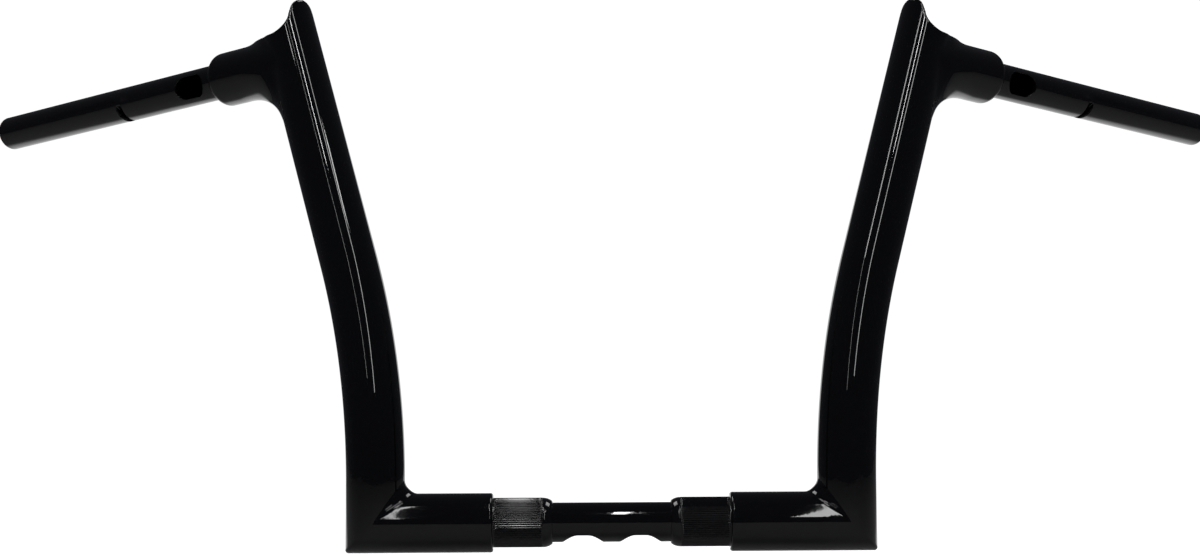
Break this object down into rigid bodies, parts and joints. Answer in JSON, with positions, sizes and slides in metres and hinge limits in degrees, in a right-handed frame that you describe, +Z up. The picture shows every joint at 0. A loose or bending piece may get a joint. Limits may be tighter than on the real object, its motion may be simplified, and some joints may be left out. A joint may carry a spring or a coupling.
{
  "type": "motorcycle handlebar",
  "caption": "Tall welded motorcycle handlebar with bent risers, pointed tops, swept-back grips, knurled clamp sleeves and wire slots.",
  "frame": {"origin": "on the axis of the clamp bar, midway between the two clamp sleeves", "axes": "+X along the clamp bar to the rider's right, +Y back towards the rider, +Z up along the foot of the risers"},
  "size_m": [0.9514, 0.2581, 0.3777],
  "materials": {
    "gloss_black": "gloss black coat on steel tube"
  },
  "bodies": {
    "root": {"center_tube": "gloss_black", "clamp_sleeve_left": "gloss_black", "clamp_sleeve_right": "gloss_black", "base_tube_left": "gloss_black", "base_tube_right": "gloss_black", "riser_left": "gloss_black", "riser_right": "gloss_black", "tip_cap_left": "gloss_black", "tip_cap_right": "gloss_black", "grip_stub_left": "gloss_black", "grip_stub_right": "gloss_black", "grip_tube_left": "gloss_black", "grip_tube_right": "gloss_black"}
  },
  "joints": []
}
